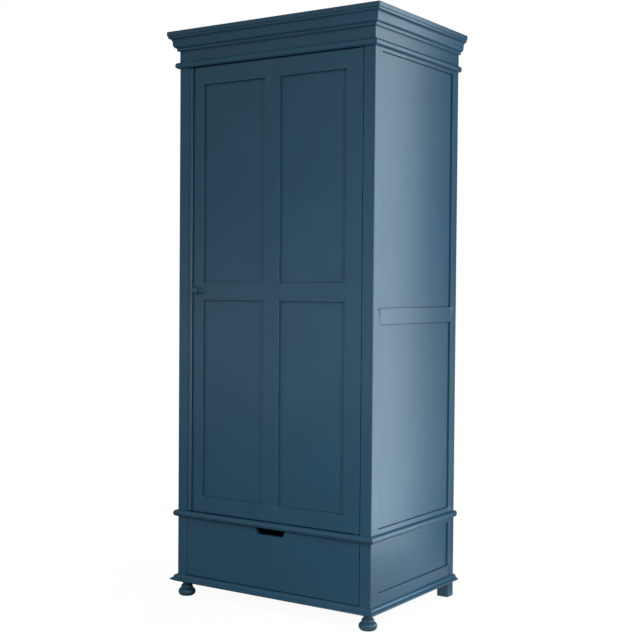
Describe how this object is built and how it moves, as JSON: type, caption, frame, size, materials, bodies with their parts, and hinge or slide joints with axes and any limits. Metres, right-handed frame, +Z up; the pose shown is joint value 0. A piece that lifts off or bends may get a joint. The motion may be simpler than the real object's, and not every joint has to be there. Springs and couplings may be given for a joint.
{
  "type": "wardrobe",
  "caption": "Tall single wardrobe with a panelled door, a wide drawer below it, rounded beads, a moulded cornice and short feet.",
  "frame": {"origin": "on the floor, under the middle of the whole wardrobe's box", "axes": "+Z up, the front faces -Y, +X to the right as seen from the front"},
  "size_m": [0.8718, 0.6074, 2],
  "materials": {
    "painted_pine": "satin blue-grey paint over pine",
    "bare_pine": "sanded and waxed",
    "beech": "waxed",
    "steel": "zinc plated"
  },
  "bodies": {
    "carcase": {"back_panel": "bare_pine", "base_back_panel": "bare_pine", "base_moulding_front": "painted_pine", "base_moulding_left": "painted_pine", "base_moulding_right": "painted_pine", "base_post_back_left": "painted_pine", "base_post_back_right": "painted_pine", "base_post_front_left": "painted_pine", "base_post_front_right": "painted_pine", "base_side_panel_left": "painted_pine", "base_side_panel_right": "painted_pine", "base_side_rail_lower_left": "painted_pine", "base_side_rail_lower_right": "painted_pine", "base_side_rail_upper_left": "painted_pine", "base_side_rail_upper_right": "painted_pine", "cornice_front": "painted_pine", "cornice_left": "painted_pine", "cornice_right": "painted_pine", "drawer_runner_left": "bare_pine", "drawer_runner_right": "bare_pine", "foot_front_left": "painted_pine", "foot_front_right": "painted_pine", "hanging_rail": "beech", "hat_shelf": "bare_pine", "head_board": "painted_pine", "post_back_left": "painted_pine", "post_back_right": "painted_pine", "post_front_left": "painted_pine", "post_front_right": "painted_pine", "side_panel_lower_left": "painted_pine", "side_panel_lower_right": "painted_pine", "side_panel_upper_left": "painted_pine", "side_panel_upper_right": "painted_pine", "side_rail_bottom_left": "painted_pine", "side_rail_bottom_right": "painted_pine", "side_rail_middle_left": "painted_pine", "side_rail_middle_right": "painted_pine", "side_rail_top_left": "painted_pine", "side_rail_top_right": "painted_pine", "top_board": "painted_pine", "waist_board": "painted_pine"},
    "door": {"door_knob": "painted_pine", "door_muntin_lower": "painted_pine", "door_muntin_upper": "painted_pine", "door_panel_lower_left": "painted_pine", "door_panel_lower_right": "painted_pine", "door_panel_upper_left": "painted_pine", "door_panel_upper_right": "painted_pine", "door_pivot_lower": "steel", "door_pivot_upper": "steel", "door_rail_bottom": "painted_pine", "door_rail_middle": "painted_pine", "door_rail_top": "painted_pine", "door_stile_left": "painted_pine", "door_stile_right": "painted_pine"},
    "drawer": {"drawer_back": "bare_pine", "drawer_bottom": "bare_pine", "drawer_front": "painted_pine", "drawer_side_left": "bare_pine", "drawer_side_right": "bare_pine"}
  },
  "joints": [
    {"name": "door_hinge", "type": "hinge", "parent": "carcase", "child": "door", "pos_m": [0.3432, -0.2623, 1.08975], "axis": [0, 0, 1], "range_deg": [0, 110]},
    {"name": "drawer_slide", "type": "slide", "parent": "carcase", "child": "drawer", "axis": [0, -1, 0], "range_m": [0, 0.36]}
  ]
}
